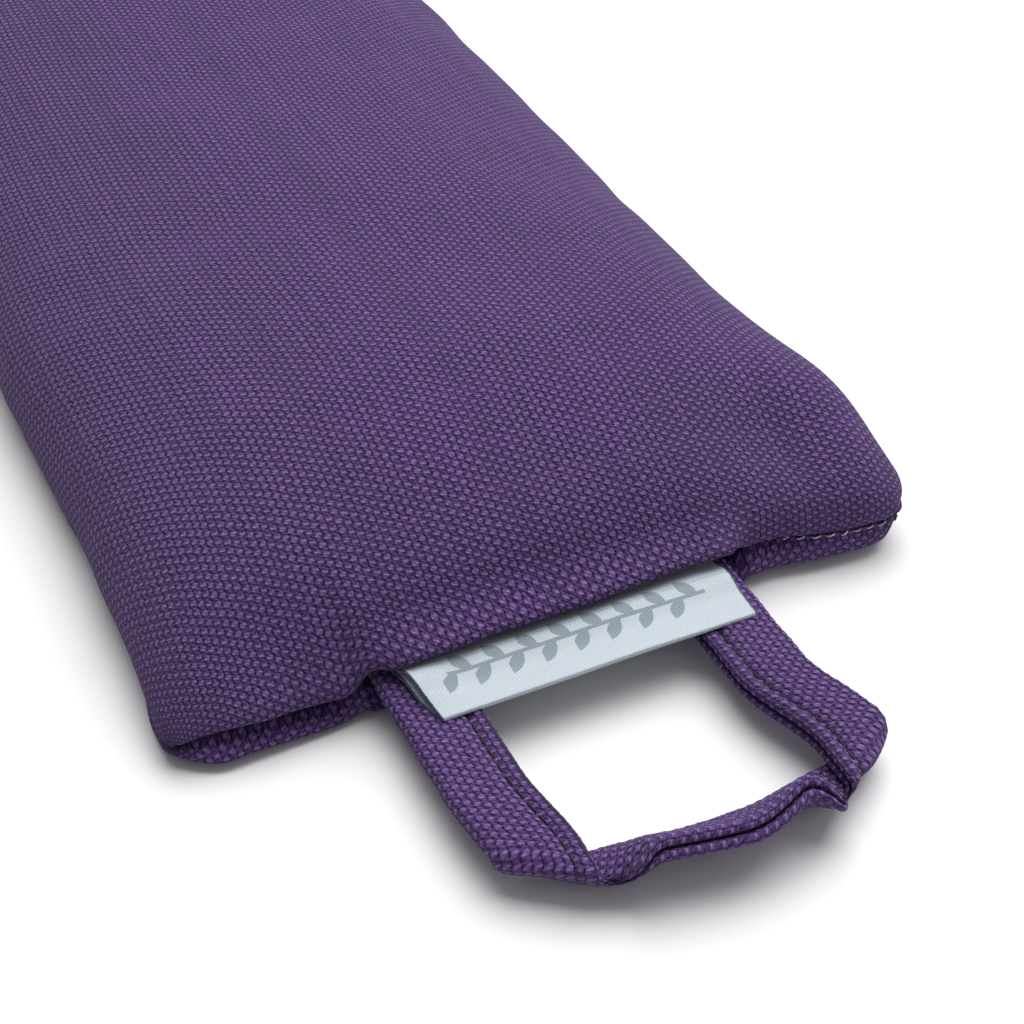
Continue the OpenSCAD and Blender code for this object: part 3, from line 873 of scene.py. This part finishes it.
def make_label():
    """The sewn-in part's two plies, and the free part that folds round between them."""
    root_y = np.linspace(LABEL_ROOT_Y, LABEL_CUT_Y, 40)
    run = NEAR_END - root_y
    roots = [ribbon(root_y, label_route(root_y, side), run if side > 0 else run + 24, np.full(40, side))
             for side in (1, -1)]
    free_y = np.linspace(LABEL_CUT_Y, LABEL_FOLD_Y + FOLD_RADIUS + LABEL_PLY / 2, 40)
    turn = np.linspace(0, math.pi, 14)[1:-1]
    end_z = (label_route(free_y[-1], 1) + label_route(free_y[-1], -1)) / 2
    radius = (label_route(free_y[-1], 1) - label_route(free_y[-1], -1)) / 2
    y = np.concatenate([free_y, free_y[-1] - FOLD_RADIUS * np.sin(turn), free_y[::-1]])
    z = np.concatenate([label_route(free_y, 1), end_z + radius * np.cos(turn), label_route(free_y[::-1], -1)])
    run = NEAR_END - LABEL_CUT_Y + np.concatenate([[0], np.cumsum(np.hypot(np.diff(y), np.diff(z)))])
    upper = np.concatenate([np.ones(40), np.cos(turn), -np.ones(40)])
    return roots, ribbon(y, z, run, upper)


label_roots, label_free = make_label()
label_root = join_parts("label_root", label_roots)
label = join_parts("label_ribbon", [label_free])
for obj in (label_root, label):
    obj.data.materials.append(LABEL_SATIN)
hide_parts("label_sewn_ends")
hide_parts("label")
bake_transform(label_root)
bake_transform(label)


# ---------- Threads ----------

def ring(radius, count=7):
    turn = np.arange(count) / count * 2 * math.pi
    return np.stack([np.cos(turn), np.sin(turn)], -1) * radius


def stitch_rings(length, radius, count=9):
    """Runs along one stitch, with the thread's radius and how deep it dips at each."""
    t = np.linspace(-1, 1, count)
    return t * length / 2, radius * np.sqrt(np.maximum(1 - t ** 6, 0.02)), 0.30 * t ** 4


def topstitch():
    parts = []
    for face in (1, -1):
        for k in range(1, int(LOOP_RUN / STITCH_PITCH) - 1):
            run, radius, dip = stitch_rings(STITCH_PITCH * 0.93, 0.17)
            s = run + (k + 0.5) * STITCH_PITCH + 0.8
            height = strap_face(np.array(STITCH_U)) + 0.06 - dip
            outline = ring(1.0)[None] * radius[:, None, None]
            outline = outline + np.stack([STITCH_U + 0 * dip, face * height], -1)[:, None]
            parts.append(sweep(s, outline))
    return join_parts("topstitch", parts)


def straight_stitch(a, b, radius, sag):
    """One stitch from a to b that dips by sag, a vector, at its ends."""
    run, r, dip = stitch_rings(1.0, radius)
    t = (run + 0.5)[:, None]
    middle = a * (1 - t) + b * t + (dip / 0.30)[:, None] * sag
    along = (b - a) / np.linalg.norm(b - a)
    side = np.cross(along, (0, 0, 1.0))
    side /= np.linalg.norm(side)
    up = np.cross(side, along)
    c = ring(1.0)
    return tube(middle[:, None] + r[:, None, None] * (c[None, :, :1] * side + c[None, :, 1:] * up))


def end_seam_thread():
    """The closing seam of the near end. The stitches show where the filling pulls the panels apart."""
    draws = np.random.default_rng(12)
    parts = []
    for x in np.arange(-HALF_WIDTH + 5, HALF_WIDTH - 2, 1.9):
        if abs(abs(x) - LEG_X) < STRAP_WIDTH / 2 + 0.8 or abs(x) < LABEL_HALF:
            continue
        shown = 1.15 * smooth_step((x - 26) / 16) - 0.9
        inset = crease_at(x) - end_shift(x) - 0.25 - shown + draws.uniform(-0.08, 0.08)
        lean = draws.uniform(-0.1, 0.35)
        half = draws.uniform(0.5, 0.75)
        a = np.array([x - half, NEAR_END + inset, seam_z(x - half, NEAR_END) - lean])
        b = np.array([x + half, NEAR_END + inset, seam_z(x + half, NEAR_END) + lean])
        parts.append(straight_stitch(a, b, 0.13, np.array([0, 0.5, 0])))
    return join_parts("end_seam_stitches", parts)


def side_seam_thread():
    parts = []
    for side in (-1, 1):
        for y in np.arange(NEAR_END + 6, HALF_LENGTH - 5, 2.6):
            place = [side * (HALF_WIDTH - CREASE - 0.75) + side_shift(side * HALF_WIDTH, v)
                     for v in (y - 1.0, y + 1.0)]
            a = np.array([place[0], y - 1.0, seam_z(HALF_WIDTH, y - 1.0)])
            b = np.array([place[1], y + 1.0, seam_z(HALF_WIDTH, y + 1.0)])
            parts.append(straight_stitch(a, b, 0.15, np.array([-side * 0.5, 0, 0])))
    for x in np.arange(-HALF_WIDTH + 6, HALF_WIDTH - 5, 2.6):
        a = np.array([x - 1.0, HALF_LENGTH - CREASE + 0.15, seam_z(x - 1.0, HALF_LENGTH)])
        b = np.array([x + 1.0, HALF_LENGTH - CREASE + 0.15, seam_z(x + 1.0, HALF_LENGTH)])
        parts.append(straight_stitch(a, b, 0.15, np.array([0, -0.5, 0])))
    return join_parts("side_seam_stitches", parts)


for obj, material, node, slot, body in (
        (topstitch(), BLACK_THREAD, "loop_topstitch_thread", "black_thread", "hang_loop"),
        (end_seam_thread(), PALE_THREAD, "end_seam_thread", "pale_thread", "pillow"),
        (side_seam_thread(), PURPLE_THREAD, "side_seam_thread", "purple_thread", "pillow")):
    obj.data.materials.append(material)
    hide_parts(node)
    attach(obj, body)


# ---------- Inside: the CAD pieces, in their own materials ----------

for node, material in (("inner_bag_top_panel", MUSLIN), ("inner_bag_bottom_panel", MUSLIN),
                       ("inner_bag_seam_thread", WHITE_THREAD), ("flaxseed_fill", SEED),
                       ("lavender_buds", LAVENDER)):
    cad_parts[node].material_slots[0].material = material


# ---------- Floor and light ----------

def make_floor():
    size = 4000.0
    points = np.array([[-size, -size, FLOOR_Z], [size, -size, FLOOR_Z],
                       [size, size, FLOOR_Z], [-size, size, FLOOR_Z]])
    floor = mesh_object("floor", points, np.array([[0, 1, 2, 3]]), np.zeros((4, 2)), np.zeros((0, 3), int))
    floor.data.materials.append(floor_material())


def area_light(name, place, aim, size, power, colour=(1, 1, 1)):
    data = bpy.data.lights.new(name, "AREA")
    data.shape = "RECTANGLE"
    data.size, data.size_y = size
    data.energy = power
    data.color = colour
    light = bpy.data.objects.new(name, data)
    light.rotation_mode = "QUATERNION"
    light.location = place
    light.rotation_quaternion = (Vector(aim) - Vector(place)).to_track_quat("-Z", "Y")
    bpy.context.collection.objects.link(light)


def set_world(strength, left_share):
    """White surroundings that fall off towards the left."""
    world = bpy.data.worlds.new("white")
    world.use_nodes = True
    tree = world.node_tree
    background = tree.nodes["Background"]
    background.inputs["Color"].default_value = (1, 1, 1, 1)
    place = tree.nodes.new("ShaderNodeTexCoord")
    parts = tree.nodes.new("ShaderNodeSeparateXYZ")
    tree.links.new(place.outputs["Generated"], parts.inputs[0])
    fall = tree.nodes.new("ShaderNodeMapRange")
    span = {"From Min": -1.0, "From Max": 0.4, "To Min": strength * left_share, "To Max": strength}
    for name, value in span.items():
        fall.inputs[name].default_value = value
    tree.links.new(parts.outputs[0], fall.inputs["Value"])
    tree.links.new(fall.outputs["Result"], background.inputs["Strength"])
    bpy.context.scene.world = world


make_floor()
set_world(0.52, 0.15)
area_light("overhead_softbox", (0.34, 0.30, 1.1), (0, -0.08, 0), (1.35, 1.35), 22.0)
bpy.context.scene.view_settings.view_transform = "Standard"
